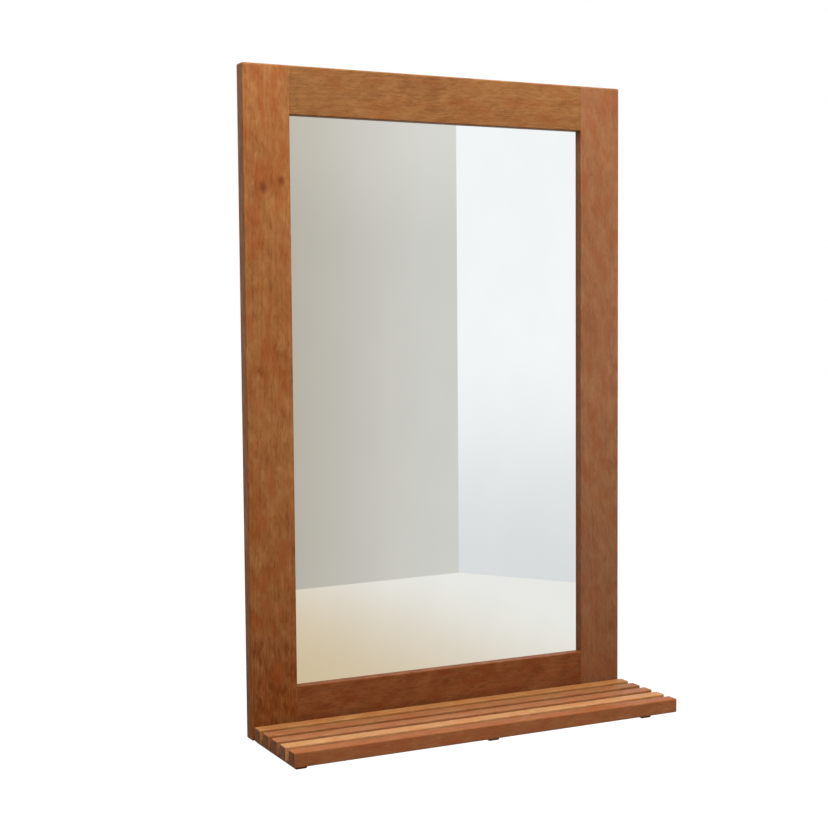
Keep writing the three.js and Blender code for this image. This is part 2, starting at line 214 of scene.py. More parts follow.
# %% Timber
LAYER_WEIGHTS = {"rings": 0.6, "drift": 0.9, "ripple": 1.1, "mottle": 0.75, "streaks": 1.1, "fibres": 0.9}
RIPPLE_LEAN = 0.42  # radians
PALEST, DEEPEST = -0.35, 1.35
# How far up from the frame's foot the painted shade reaches, in metres.
PAINTED_FOOT_SHADE_HEIGHT = 0.24
END_GRAIN = (0.145, 0.030, 0.008, 1)
RED_HEART, PORE, KNOT, RUBBED = (1.25, 0.82, 0.62), (0.42, 0.42, 0.42), (0.62, 0.40, 0.40), (1.2, 1.2, 1.2)
OIL_IOR = 1.46


def tinted(colour, shares):
    """A colour with each channel times its own share."""
    return (*(channel * share for channel, share in zip(colour, shares)), 1)


def timber(
        name, along, tones, tree_place, figure=1.0, ruddy=0.5, knots=(), painted_foot_shade=0.0, rubbing=0.3,
        gloss=0.14):
    """A board's wood.

    along: the axis that the grain runs along.
    tones: the board's pale and deep colour.
    tree_place: where in the tree the board was cut, in metres from its heart.
    figure: how strongly the layers show.
    ruddy: how strongly the reddish clouds show.
    knots: for each knot its x, its z and its size.
    painted_foot_shade: painted shade, how much deeper the tone is made at the frame's foot, where less light
    reaches.
    rubbing: how far the rubbed edges go towards their paler tone.
    gloss: how much the oil shines.
    """
    pale, deep = tones
    material, tree, shader = new_material(name)
    own = add(tree, "TexCoord")
    board, grown = tree_space(tree, own, along, tree_place)
    slant = add(tree, "Mapping", {"Vector": grown, "Rotation": (RIPPLE_LEAN, RIPPLE_LEAN, 0)}).outputs[0]
    radius, knot_dark = flow_round_knots(tree, own, heart_distance(tree, grown), knots)

    mottle = layer(tree, grown, "mottle").outputs["Fac"]
    streaks = layer(tree, grown, "streaks").outputs["Fac"]
    fibres = layer(tree, grown, "fibres").outputs["Fac"]
    blush = add(tree, "SeparateXYZ", {0: layer(tree, grown, "blush").outputs["Color"]}).outputs[1]
    pores = rescale(tree, layer(tree, board, "pores").outputs["Fac"], 0.60, 0.70)

    # Add the layers up: 0 is the pale wood of the board, 1 the deep wood.
    layers = {
        "rings": growth_rings(tree, radius),
        "drift": layer(tree, board, "drift").outputs["Fac"],
        "ripple": layer(tree, slant, "ripple").outputs["Fac"],
        "mottle": mottle,
        "streaks": streaks,
        "fibres": fibres,
    }
    depth = 0.5
    for layer_name, value in layers.items():
        around_zero = calc(tree, "SUBTRACT", value, 0.5)
        weighted = calc(tree, "MULTIPLY", around_zero, LAYER_WEIGHTS[layer_name] * figure)
        depth = calc(tree, "ADD", weighted, depth)
    # Painted shade: the wood is made deeper towards the frame's foot, near the shelf, where less light
    # reaches.
    if painted_foot_shade:
        height = add(tree, "SeparateXYZ", {0: own.outputs["Object"]}).outputs[2]
        painted_shade_low_down = rescale(tree, height, frame_foot, frame_foot + PAINTED_FOOT_SHADE_HEIGHT, painted_foot_shade, 0.0)
        depth = calc(tree, "ADD", depth, painted_shade_low_down)
    depth = calc(tree, "MAXIMUM", calc(tree, "MINIMUM", depth, DEEPEST), PALEST)
    between = {0: depth, 6: (*pale, 1), 7: (*deep, 1)}
    colour = add(tree, "Mix", between, data_type="RGBA", clamp_factor=False).outputs[2]

    # Reddish clouds, open pores and knots, each in its own tint of the deep wood.
    reddish = rescale(tree, blush, 0.42, 0.68, 0.0, ruddy)
    colour = mix_colours(tree, reddish, colour, tinted(deep, RED_HEART))
    colour = mix_colours(tree, calc(tree, "MULTIPLY", pores, 0.4), colour, tinted(deep, PORE))
    colour = mix_colours(tree, calc(tree, "MULTIPLY", knot_dark, 0.85), colour, tinted(deep, KNOT))

    # End grain: the more the surface faces along the grain, the deeper the oil has gone in.
    facing = {0: own.outputs["Normal"], 1: GRAIN_WAYS[along]}
    end = add(tree, "VectorMath", facing, operation="DOT_PRODUCT").outputs["Value"]
    end = rescale(tree, calc(tree, "ABSOLUTE", end), 0.55, 0.95)
    colour = mix_colours(tree, calc(tree, "MULTIPLY", end, 0.88), colour, END_GRAIN)

    # Rubbed edges are a shade paler, in some clouds of the mottle more than in others.
    rubbed = add(tree, "Attribute", attribute_name="rubbed").outputs["Fac"]
    worn = calc(tree, "MULTIPLY", rubbed, rescale(tree, mottle, 0.35, 0.65, 0.03, rubbing))
    colour = mix_colours(tree, worn, colour, tinted(pale, RUBBED))

    # Streaks and pores are rougher. Fibres stand up a little from the surface, and pores are dents.
    rough = calc(tree, "ADD", calc(tree, "MULTIPLY", streaks, 0.16), 0.36)
    rough = calc(tree, "ADD", rough, calc(tree, "MULTIPLY", pores, 0.2))
    raised, dented = calc(tree, "MULTIPLY", fibres, 0.35), calc(tree, "MULTIPLY", pores, 0.9)
    relief = {"Height": calc(tree, "SUBTRACT", raised, dented), "Strength": 0.35, "Distance": 0.12 * MM}

    tree.links.new(colour, shader.inputs["Base Color"])
    tree.links.new(rough, shader.inputs["Roughness"])
    tree.links.new(add(tree, "Bump", relief).outputs[0], shader.inputs["Normal"])
    shader.inputs["IOR"].default_value = OIL_IOR
    shader.inputs["Specular IOR Level"].default_value = gloss
    return material


print("the timber recipe adds up", len(LAYER_WEIGHTS), "layers")

# %% [markdown]
# ## One board at a time
#
# Even boards from one tree differ. On this object the left stile is the most golden, and the right stile
# and the top rail are a little browner. The bottom rail is plainly darker and both stiles darken
# towards the foot: both are painted shade, as the frame's foot near the shelf gets less light. The left
# stile has two small knots side by side, about 14 cm below its top. The slats run from golden to
# pinkish brown, and the fourth one from the frame is the palest.

# %% Boards
# Each knot's x, z and size.
knot_places = [(-0.236, frame_top - 0.1435, 0.0036), (-0.213, frame_top - 0.135, 0.003)]

# The pale and the deep colour of each board.
golden = (0.450, 0.190, 0.063), (0.258, 0.086, 0.023)
rosy = (0.410, 0.188, 0.084), (0.262, 0.100, 0.042)
tan = (0.358, 0.160, 0.054), (0.215, 0.083, 0.026)
# The bottom rail's deeper tones are painted shade, as the frame's foot gets less light.
russet_painted_shade = (0.310, 0.106, 0.034), (0.180, 0.054, 0.017)
dusky = (0.30, 0.11, 0.04), (0.17, 0.055, 0.02)
slat_tones = [
    ((0.500, 0.245, 0.086), (0.340, 0.137, 0.041)),
    ((0.420, 0.187, 0.076), (0.275, 0.101, 0.036)),
    ((0.475, 0.214, 0.096), (0.310, 0.117, 0.046)),
    ((0.670, 0.360, 0.162), (0.495, 0.230, 0.090)),
    ((0.460, 0.170, 0.062), (0.310, 0.099, 0.034)),
]
wood = {
    "left_stile": timber(
        "hardwood_left_stile", "Z", golden, (0.085, 0.04, 0.3), knots=knot_places, painted_foot_shade=0.7),
    "right_stile": timber(
        "hardwood_right_stile", "Z", rosy, (-0.04, 0.06, 1.9), figure=0.8, ruddy=0.4, painted_foot_shade=0.5),
    "top_rail": timber("hardwood_top_rail", "X", tan, (0.07, 0.03, 3.1), ruddy=0.3),
    "bottom_rail": timber("hardwood_bottom_rail", "X", russet_painted_shade, (0.9, 0.05, 4.7)),
    "bearers": timber("hardwood_bearers", "Y", dusky, (0.05, 0.02, 6.2)),
}
for number, tones in enumerate(slat_tones, start=1):
    place = (0.03 + 0.02 * number, 0.05, 7.0 + 1.3 * number)
    wood[f"slat_{number}"] = timber(
        f"hardwood_slat_{number}", "X", tones, place, figure=0.85, ruddy=0.4, rubbing=0.12, gloss=0.16)
print("boards:", ", ".join(wood))

# %% [markdown]
# ## Beech, fibreboard, zinc and silver
#
# The rest of the object is plain stuff. The dowels are pale beech, with short brown flecks. The panel
# behind the glass is pressed fibre: no grain at all, only clumps and a faint weave from the press. The
# metal is zinc-plated steel with the brush marks of its finishing. Silvered glass mirrors almost
# everything, with a trace of green from the iron in the glass; its ground edge is frosted green, and
# its back has grey paint over the silver.

# %% Beech and fibreboard
def beech_wood():
    material, tree, shader = new_material("beech")
    own = add(tree, "TexCoord").outputs["Object"]
    board = add(tree, "Mapping", {"Vector": own, "Rotation": GRAIN_TURNS["X"]}).outputs[0]
    flecks = rescale(tree, cloud(tree, board, 0.0006, 0.004).outputs["Fac"], 0.55, 0.68)
    tone = cloud(tree, board, 0.004, 0.05).outputs["Fac"]
    cream, straw, brown = (0.72, 0.52, 0.31, 1), (0.58, 0.37, 0.20, 1), (0.36, 0.19, 0.09, 1)
    colour = mix_colours(tree, tone, cream, straw)
    colour = mix_colours(tree, calc(tree, "MULTIPLY", flecks, 0.6), colour, brown)
    tree.links.new(colour, shader.inputs["Base Color"])
    tree.links.new(rescale(tree, flecks, 0, 1, 0.55, 0.75), shader.inputs["Roughness"])
    return material


def pressed_fibre():
    material, tree, shader = new_material("fibreboard")
    own = add(tree, "TexCoord").outputs["Object"]
    clumps = cloud(tree, own, 0.006, 0.006, 5.0).outputs["Fac"]
    hairs = cloud(tree, own, 0.0007, 0.0022, 3.0).outputs["Fac"]
    tan_fibre, brown_fibre = (0.27, 0.160, 0.088, 1), (0.215, 0.122, 0.066, 1)
    pale_hair = (0.38, 0.25, 0.15, 1)
    colour = mix_colours(tree, rescale(tree, clumps, 0.3, 0.7), tan_fibre, brown_fibre)
    colour = mix_colours(tree, rescale(tree, hairs, 0.5, 0.75, 0.0, 0.6), colour, pale_hair)
    weave = add(tree, "TexWave", {"Vector": own, "Scale": 160.0, "Distortion": 1.5, "Detail": 1.0})
    height = calc(tree, "ADD", calc(tree, "MULTIPLY", weave.outputs["Fac"], 0.3), hairs)
    bump = add(tree, "Bump", {"Height": height, "Strength": 0.4, "Distance": 0.15 * MM}).outputs[0]
    tree.links.new(colour, shader.inputs["Base Color"])
    tree.links.new(bump, shader.inputs["Normal"])
    tree.links.new(rescale(tree, hairs, 0.3, 0.7, 0.62, 0.85), shader.inputs["Roughness"])
    return material


beech = beech_wood()
fibreboard = pressed_fibre()
print("made", beech.name, "and", fibreboard.name)

# %% Zinc and silver
def zinc_plate():
    material, tree, shader = new_material("zinc_plated_steel")
    own = add(tree, "TexCoord").outputs["Object"]
    brushing = cloud(tree, own, 0.00025, 0.006).outputs["Fac"]
    bloom = cloud(tree, own, 0.004, 0.004, 3.0).outputs["Fac"]
    bright, dull = (0.60, 0.61, 0.63, 1), (0.47, 0.49, 0.50, 1)
    colour = mix_colours(tree, rescale(tree, bloom, 0.35, 0.7), bright, dull)
    brushed = rescale(tree, brushing, 0.3, 0.7, 0.22, 0.36)
    rough = calc(tree, "ADD", brushed, calc(tree, "MULTIPLY", bloom, 0.12))
    bump = add(tree, "Bump", {"Height": brushing, "Strength": 0.15, "Distance": 0.05 * MM}).outputs[0]
    tree.links.new(colour, shader.inputs["Base Color"])
    tree.links.new(rough, shader.inputs["Roughness"])
    tree.links.new(bump, shader.inputs["Normal"])
    shader.inputs["Metallic"].default_value = 1.0
    return material


def silvering():
    material, tree, shader = new_material("silvered_glass_face")
    own = add(tree, "TexCoord").outputs["Object"]
    haze = cloud(tree, own, 0.05, 0.09).outputs["Fac"]
    hazy, clear = (0.905, 0.925, 0.915, 1), (0.925, 0.94, 0.93, 1)
    colour = mix_colours(tree, rescale(tree, haze, 0.3, 0.7), hazy, clear)
    tree.links.new(colour, shader.inputs["Base Color"])
    tree.links.new(rescale(tree, haze, 0.3, 0.7, 0.004, 0.012), shader.inputs["Roughness"])
    shader.inputs["Metallic"].default_value = 1.0
    return material


def ground_edge():
    material, tree, shader = new_material("ground_glass_edge")
    own = add(tree, "TexCoord").outputs["Object"]
    grit = cloud(tree, own, 0.0004, 0.0004).outputs["Fac"]
    sea_green, pale_green = (0.30, 0.46, 0.40, 1), (0.40, 0.56, 0.50, 1)
    tree.links.new(mix_colours(tree, grit, sea_green, pale_green), shader.inputs["Base Color"])
    tree.links.new(rescale(tree, grit, 0.3, 0.7, 0.35, 0.6), shader.inputs["Roughness"])
    return material


def backing_paint():
    material, tree, shader = new_material("grey_backing_paint")
    own = add(tree, "TexCoord").outputs["Object"]
    curtain = cloud(tree, own, 0.01, 0.2, 3.0).outputs["Fac"]
    dark_grey, grey = (0.20, 0.21, 0.22, 1), (0.26, 0.27, 0.28, 1)
    colour = mix_colours(tree, rescale(tree, curtain, 0.3, 0.7), dark_grey, grey)
    tree.links.new(colour, shader.inputs["Base Color"])
    tree.links.new(rescale(tree, curtain, 0.3, 0.7, 0.5, 0.62), shader.inputs["Roughness"])
    return material


zinc = zinc_plate()
silver, glass_edge, glass_back = silvering(), ground_edge(), backing_paint()
print("made", zinc.name, silver.name, glass_edge.name, glass_back.name)

# %% [markdown]
# ## Shaping helpers
#
# Every wooden piece starts as a squared block, as it does in the workshop. `ease` rounds chosen edges
# and remembers the rounded faces in an attribute, which the timber recipe reads as "rubbed". `turned`
# spins a profile round an axis, as a lathe does. `cut` takes tools' shapes out of a block with Boolean
# modifiers, as a router, saw or drill would, and keeps only the result.

# %% Shaping helpers
LATHE_STEPS = 24
SHARP_ANGLE = math.radians(32)
FACING_WALL = Matrix.Rotation(-math.pi / 2, 4, "X")
FACING_DOWN = Matrix.Rotation(math.pi, 4, "X")
ALONG_X = Matrix.Rotation(math.pi / 2, 4, "Y")
FIT = 0.3 * MM  # the play round whatever goes in a hole, a bed or a notch
TOUCHING = 1e-5  # metres; what is nearer than this counts as touching


def block(low, high):
    """A box between two corners."""
    low, high = Vector(low), Vector(high)
    bm = bmesh.new()
    place = Matrix.Translation((low + high) / 2) @ Matrix.Diagonal((*(high - low), 1))
    bmesh.ops.create_cube(bm, size=1, matrix=place)
    return bm


def ease(bm, radius, steps, chosen):
    """Rounds the edges for which chosen(middle, direction) is true, and marks the new faces."""
    rubbed = bm.faces.layers.float.get("rubbed") or bm.faces.layers.float.new("rubbed")
    edges = []
    for edge in bm.edges:
        start, end = (corner.co for corner in edge.verts)
        if chosen((start + end) / 2, (end - start).normalized()):
            edges.append(edge)
    made = bmesh.ops.bevel(
        bm, geom=edges, offset=radius, offset_type="OFFSET", segments=steps, profile=0.5,
        affect="EDGES", material=-1)
    for face in made["faces"]:
        face[rubbed] = 1.0
    return bm


def every_edge(middle, way):
    """Chooses all the edges of a piece for easing."""
    return True


def front_to_back(middle, way):
    """Chooses the edges that run from the room towards the wall."""
    return abs(way.y) > 0.9


def turned(profile):
    """Spins (radius, height) points round Z. The profile starts and ends on the axis."""
    bm = bmesh.new()
    points = [bm.verts.new((radius, 0, height)) for radius, height in profile]
    lines = [bm.edges.new(pair) for pair in zip(points, points[1:])]
    bmesh.ops.spin(
        bm, geom=points + lines, axis=(0, 0, 1), angle=2 * math.pi, steps=LATHE_STEPS, use_merge=True)
    bmesh.ops.remove_doubles(bm, verts=bm.verts, dist=1e-6)
    bmesh.ops.recalc_face_normals(bm, faces=bm.faces)
    return bm


def moved(bm, place, turn):
    """The same shape, turned and then carried to its place."""
    bmesh.ops.transform(bm, matrix=Matrix.Translation(place) @ turn, verts=bm.verts)
    return bm


print("shapes are turned in", LATHE_STEPS, "steps")

# %% Cutting and finishing
def as_object(bm, name):
    """Puts a bmesh in the scene as an object."""
    mesh = bpy.data.meshes.new(name)
    bm.to_mesh(mesh)
    bm.free()
    made = bpy.data.objects.new(name, mesh)
    bpy.context.scene.collection.objects.link(made)
    return made


def put_away(objects):
    """Removes tools that have done their work."""
    for tool in objects:
        mesh = tool.data
        bpy.data.objects.remove(tool)
        bpy.data.meshes.remove(mesh)


def span(thing):
    """The lowest and the highest corner of an object's box."""
    corners = [Vector(corner) for corner in thing.bound_box]
    return Vector(map(min, *corners)), Vector(map(max, *corners))


def reaches(one, other):
    """True if the boxes of two objects touch."""
    (low, high), (other_low, other_high) = span(one), span(other)
    return all(low[axis] <= other_high[axis] and other_low[axis] <= high[axis] for axis in range(3))


def cut(bm, tools):
    """Takes the tools' shapes out of the block, and returns what is left."""
    stock = as_object(bm, "stock")
    for tool in tools:
        if reaches(stock, tool):
            step = stock.modifiers.new("cut", "BOOLEAN")
            step.operation = "DIFFERENCE"
            step.solver = "MANIFOLD"
            step.object = tool
    left = bmesh.new()
    left.from_object(stock, bpy.context.evaluated_depsgraph_get())
    put_away([stock])
    bmesh.ops.remove_doubles(left, verts=left.verts, dist=2e-6)
    return left


def finished(bm, name, materials, stands_for):
    """Makes the piece: smooth where it is round, crisp at its edges, and riding on the CAD body."""
    made = as_object(bm, name)
    made.data.shade_smooth()
    made.data.set_sharp_from_angle(angle=SHARP_ANGLE)
    for material in materials:
        made.data.materials.append(material)
    even = made.modifiers.new("even_shading", "WEIGHTED_NORMAL")
    even.keep_sharp = True
    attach(made, "root")
    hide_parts(*stands_for)
    return made


print("holes are", round(FIT / MM, 1), "mm wider all round than what goes in them")

# %% [markdown]
# ## Screws
#
# Four kinds of screw hold the object together: three are countersunk and sit in the wood, and one has
# a pan head and grips the back panel. A head is turned on a lathe, then a cross is pressed into it. The
# cross is made of two wedges, and each screw is copied from its pattern to the place of its CAD node.

# %% Screw patterns
# In millimetres: the head's width and height, the shank's width, the length, and the cross's width
# and depth.
SCREW_SIZES = {
    "slat": (5.6, 1.8, 3.0, 18.0, 3.0, 1.3),
    "bearer": (8.0, 2.6, 4.0, 50.0, 4.4, 2.0),
    "hanger": (6.4, 1.6, 3.5, 14.0, 3.4, 1.2),
    "panel": (6.0, 2.0, 3.0, 9.0, 3.2, 1.3),
}


def screw_sizes(kind):
    """The sizes of one kind of screw in metres."""
    return [size * MM for size in SCREW_SIZES[kind]]


def cross_recess(width, depth):
    """Two wedges, narrower below, with their mouths a little above z = 0."""
    arms = []
    for turn in (0, math.pi / 2):
        arm = block((-width / 2, -width * 0.11, -depth), (width / 2, width * 0.11, depth * 0.4))
        foot = [corner for corner in arm.verts if corner.co.z < -depth * 0.5]
        bmesh.ops.scale(arm, vec=(0.42, 0.7, 1), verts=foot)
        arms.append(as_object(moved(arm, (0, 0, 0), Matrix.Rotation(turn, 4, "Z")), "cross_arm"))
    return arms


def screw_point(shank, length):
    """The start of a screw's profile: a point as long as the shank is wide."""
    return [(0, -length), (shank * 0.12, -length + shank * 0.1), (shank / 2, -length + shank)]


def countersunk_screw(head, head_height, shank, length):
    profile = screw_point(shank, length)
    profile += [(shank / 2, -head_height - 0.3 * MM), (head / 2 - 0.15 * MM, -0.25 * MM)]
    profile += [(head / 2, -0.1 * MM), (head / 2 - 0.12 * MM, 0), (0, 0)]
    return turned(profile)


def pan_screw(head, head_height, shank, length):
    profile = screw_point(shank, length)
    profile += [(shank / 2, 0), (head / 2 - 0.1 * MM, 0)]
    profile += [(head / 2, 0.12 * MM), (head / 2, head_height * 0.4)]
    for degrees in range(15, 90, 15):
        lean = math.radians(degrees)
        bend = 0.62 + 0.38 * math.cos(lean)
        profile.append((head / 2 * bend, head_height * (0.4 + 0.55 * math.sin(lean))))
    profile += [(head * 0.2, head_height), (0, head_height)]
    return turned(profile)


def screw_pattern(kind):
    """One screw of its kind, pointing down, with the cross pressed into its head."""
    head, head_height, shank, length, cross_width, cross_depth = screw_sizes(kind)
    blank = pan_screw if kind == "panel" else countersunk_screw
    top = head_height if kind == "panel" else 0
    arms = cross_recess(cross_width, cross_depth)
    for arm in arms:
        arm.data.transform(Matrix.Translation((0, 0, top)))
    pressed = cut(blank(head, head_height, shank, length), arms)
    put_away(arms)
    return pressed


screw_patterns = {kind: screw_pattern(kind) for kind in SCREW_SIZES}
print("screw patterns:", ", ".join(screw_patterns))

# %% Driven screws
SCREW_TURNS = {"slat": FACING_DOWN, "bearer": FACING_WALL, "hanger": FACING_WALL, "panel": FACING_WALL}


def screw_kind(node):
    """slat, bearer, hanger or panel for a screw's node, and None for any other node."""
    return node.split("_screw")[0] if "_screw" in node else None


def head_place(node):
    """The middle of a countersunk head's face, or of a pan head's underside."""
    low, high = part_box(node)
    middle = (low + high) / 2
    kind = screw_kind(node)
    if kind == "slat":
        return (middle.x, middle.y, low.z)
    rise = screw_sizes(kind)[1] if kind == "panel" else 0
    return (middle.x, high.y - rise, middle.z)


def drive(node):
    """Copies a screw from its pattern to its node's place. The node's name decides how its cross lies."""
    kind = screw_kind(node)
    spin = Matrix.Rotation(math.radians(sum(map(ord, node)) * 37 % 90), 4, "Z")
    bm = moved(screw_patterns[kind].copy(), head_place(node), SCREW_TURNS[kind] @ spin)
    return finished(bm, f"{node}_driven", [zinc], [node])


screws = [drive(node) for node in sorted(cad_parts) if screw_kind(node)]
print("drove", len(screws), "screws")

# %% [markdown]
# ## Holes for screws and dowels
#
# A hole is a tool shape too. Each is made from the box of the screw or dowel that goes in it and is a
# little wider all round, so hole and screw can never drift apart.

# %% Hole tools
DOWEL_WIDTH = 8 * MM
DOWEL_END_PLAY = 1 * MM
MOUTH = 2 * MM  # how far a countersunk hole is kept open above the screw's head
SHORT_OF_HEAD = 1 * MM  # how far below the top of its screw's head the panel's hole ends


def drill(node):
    """The hole of one countersunk screw, with an open mouth above its head."""
    kind = screw_kind(node)
    head, head_height, shank = screw_sizes(kind)[:3]
    low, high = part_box(node)
    length = high.z - low.z if kind == "slat" else high.y - low.y
    profile = [(0, -length - FIT), (shank / 2 + FIT, -length - FIT)]
    profile += [(shank / 2 + FIT, -head_height - FIT), (head / 2 + FIT, -FIT)]
    profile += [(head / 2 + FIT, MOUTH), (0, MOUTH)]
    return as_object(moved(turned(profile), head_place(node), SCREW_TURNS[kind]), "drill")


def bore(low, high, radius, turn):
    """A straight round hole that fills the box's length along the turned axis."""
    reach = (high - low).x / 2 if turn is ALONG_X else (high - low).y / 2
    bm = turned([(0, -reach), (radius, -reach), (radius, reach), (0, reach)])
    return as_object(moved(bm, (low + high) / 2, turn), "bore")


def panel_screw_bore(node):
    """The straight hole of a pan-head screw. It passes through the panel and ends in the head."""
    low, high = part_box(node)
    shank = screw_sizes("panel")[2]
    bottom, top = low - Vector((0, FIT, 0)), high - Vector((0, SHORT_OF_HEAD, 0))
    return bore(bottom, top, shank / 2 + FIT, FACING_WALL)


def dowel_bore(node):
    """The hole of a dowel, with room for glue at its ends."""
    low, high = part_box(node)
    spare = Vector((DOWEL_END_PLAY, 0, 0))
    return bore(low - spare, high + spare, DOWEL_WIDTH / 2 + FIT, ALONG_X)


hole_tools = []
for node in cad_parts:
    if node.startswith("dowel"):
        hole_tools.append(dowel_bore(node))
    elif screw_kind(node) == "panel":
        hole_tools.append(panel_screw_bore(node))
    elif screw_kind(node):
        hole_tools.append(drill(node))
print("made", len(hole_tools), "hole tools")

# %% [markdown]
# ## The frame
#
# Two stiles run the full height and two rails are dowelled between them. All four are eased along their
# outer edges. Behind, a router has cut a stepped recess: the inner step holds the glass, the outer one
# the panel. In front, the opening's sharp edge is taken off. Near the top of each stile's back is the
# bed of a keyhole plate, with a deeper pocket for the head of the wall screw.
#
# The four could be sculpted as one ring, but a real frame shows a hairline at each joint and grain that
# turns a corner there, so each member is a piece of its own. The rails' front ends are broken by a
# quarter of a millimetre, which draws that hairline.

# %% Router tools for the frame
opening_low = Vector((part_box("stile_left")[1].x, 0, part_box("rail_bottom")[1].z))
opening_high = Vector((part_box("stile_right")[0].x, 0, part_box("rail_top")[0].z))
front = stile_box[0].y
glass_low, glass_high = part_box("mirror_glass")
panel_low, panel_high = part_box("back_panel")
beyond = 4 * MM  # how far a tool reaches out of the wood
GLASS_PLAY, PANEL_PLAY = 1 * MM, 0.5 * MM
OPENING_CHAMFER = 0.8 * MM
PLATE_CORNER = 3 * MM
ENTRY_DROP = 12 * MM  # from the wall screw's seat, at z = 0, down to the keyhole's round entry
CAVITY_WIDTH, CAVITY_DEPTH = 12 * MM, 7 * MM
CAVITY_ROUND = 5.97 * MM  # a hair under half the width, so that the two rounds don't meet


def rebate(low, high, play):
    """A shallow box as wide as what it holds plus its play, open to the wall."""
    tool = block((low.x - play, low.y, low.z - play), (high.x + play, beyond, high.z + play))
    return as_object(tool, "rebate")


def opening_flare(chamfer):
    """A plug whose sides splay outwards in front, to take the sharp edge off the opening."""
    low = (opening_low.x, front - beyond, opening_low.z)
    high = (opening_high.x, front + chamfer, opening_high.z)
    plug = block(low, high)
    mouth = [corner for corner in plug.verts if corner.co.y < front]
    middle_z = 0.5 * (opening_low.z + opening_high.z)
    grow = chamfer + beyond
    for corner in mouth:
        corner.co.x += math.copysign(grow, corner.co.x)
        corner.co.z += grow if corner.co.z > middle_z else -grow
    return as_object(plug, "flare")


def hanger_pocket(node):
    """The bed of a keyhole plate, and the deeper round-ended pocket behind it."""
    low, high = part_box(node)
    gap = Vector((FIT, 0, FIT))
    bed = block(low - gap, high + gap + Vector((0, beyond, 0)))
    ease(bed, PLATE_CORNER, 8, front_to_back)
    half = CAVITY_WIDTH / 2
    centre = (low.x + high.x) / 2
    pocket_low = (centre - half, low.y - CAVITY_DEPTH, -ENTRY_DROP - half)
    pocket = block(pocket_low, (centre + half, beyond / 2, half))
    ease(pocket, CAVITY_ROUND, 12, front_to_back)
    return [as_object(bed, "bed"), as_object(pocket, "pocket")]


frame_tools = [
    rebate(glass_low, glass_high, GLASS_PLAY),
    rebate(panel_low, panel_high, PANEL_PLAY),
    opening_flare(OPENING_CHAMFER),
    *hanger_pocket("hanger_plate_left"),
    *hanger_pocket("hanger_plate_right"),
]
print("made", len(frame_tools), "router tools for the frame")

# %% Stiles and rails
stile_width = stile_box[1].x - stile_box[0].x
outer = abs(stile_box[0].x)
FRAME_ARRIS = 2 * MM
JOINT_ARRIS = 0.25 * MM


def outer_edge(middle, way):
    """True for an edge that the finished frame shows on its outside."""
    at_side = abs(abs(middle.x) - outer) < TOUCHING
    at_end = min(abs(middle.z - frame_top), abs(middle.z - frame_foot)) < TOUCHING
    return at_side or (at_end and abs(way.x) > 0.9)


def front_joint_edge(middle, way):
    """True for the upright front edge at a rail's end, where the rail meets a stile."""
    at_joint = abs(abs(middle.x) - (outer - stile_width)) < TOUCHING
    return at_joint and middle.y < front + 1 * MM and abs(way.z) > 0.9


def frame_member(node, name):
    """Planes one stile or rail, and lets the router and the drills into it."""
    bm = ease(block(*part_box(node)), FRAME_ARRIS, 5, outer_edge)
    if node.startswith("rail"):
        ease(bm, JOINT_ARRIS, 2, front_joint_edge)
    return finished(cut(bm, frame_tools + hole_tools), name, [wood[name]], [node])


members = [
    frame_member("stile_left", "left_stile"),
    frame_member("stile_right", "right_stile"),
    frame_member("rail_top", "top_rail"),
    frame_member("rail_bottom", "bottom_rail"),
]
for member in members:
    print(member.name, len(member.data.polygons), "faces")

# %% [markdown]
# ## Dowels
#
# The dowels are glued inside the joints and never show. The CAD solids are already right, so they stay,
# and only get their beech.

# %% Dowels
for node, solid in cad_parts.items():
    if node.startswith("dowel"):
        solid.data.materials.clear()
        solid.data.materials.append(beech)
print("dowels are beech")

# %% [markdown]
# ## Mirror glass and back panel
#
# The pane is cut 2 mm smaller than its recess and its edge is ground by half a millimetre. Its front
# face carries the silver's look, its rim the frosted green, its back the grey paint, each on its own
# faces. The panel is a thin sheet with ten holes for its screws.

# %% Mirror glass
GROUND_ARRIS = 0.5 * MM
pane = ease(block(glass_low, glass_high), GROUND_ARRIS, 2, every_edge)
for face in pane.faces:
    face.material_index = 1
    if face.normal.y < -0.99:
        face.material_index = 0
    if face.normal.y > 0.99:
        face.material_index = 2
mirror = finished(pane, "mirror_pane", [silver, glass_edge, glass_back], ["mirror_glass"])
print(mirror.name, [round(size / MM, 1) for size in glass_high - glass_low], "mm")

# %% Back panel
PANEL_ARRIS = 0.3 * MM


def behind_panel(middle, way):
    """Chooses the panel's four edges on the side of the wall."""
    return abs(way.y) < 0.5 and abs(middle.y - panel_high.y) < TOUCHING


sheet = ease(block(panel_low, panel_high), PANEL_ARRIS, 2, behind_panel)
panel = finished(cut(sheet, hole_tools), "fibre_panel", [fibreboard], ["back_panel"])
print(panel.name, [round(size / MM, 1) for size in panel_high - panel_low], "mm")

# %% [markdown]
# ## Keyhole plates
#
# A keyhole plate is stamped from 2 mm steel: rounded corners, a round entry for the wall screw's head
# and a slot above it for the shank. The stamping leaves a tiny round on its outer edge. The entry and
# the slot are cut with a turned tool and a round-ended block.

# %% Keyhole plates
ENTRY_WIDTH, SLOT_WIDTH = 9.5 * MM, 5 * MM
SLOT_ROUND = 2.49 * MM  # a hair under half the width, so that the two rounds don't meet
STAMPED_ARRIS = 0.25 * MM
punch = 6 * MM  # how far the stamping tools reach to either side of the wall's face


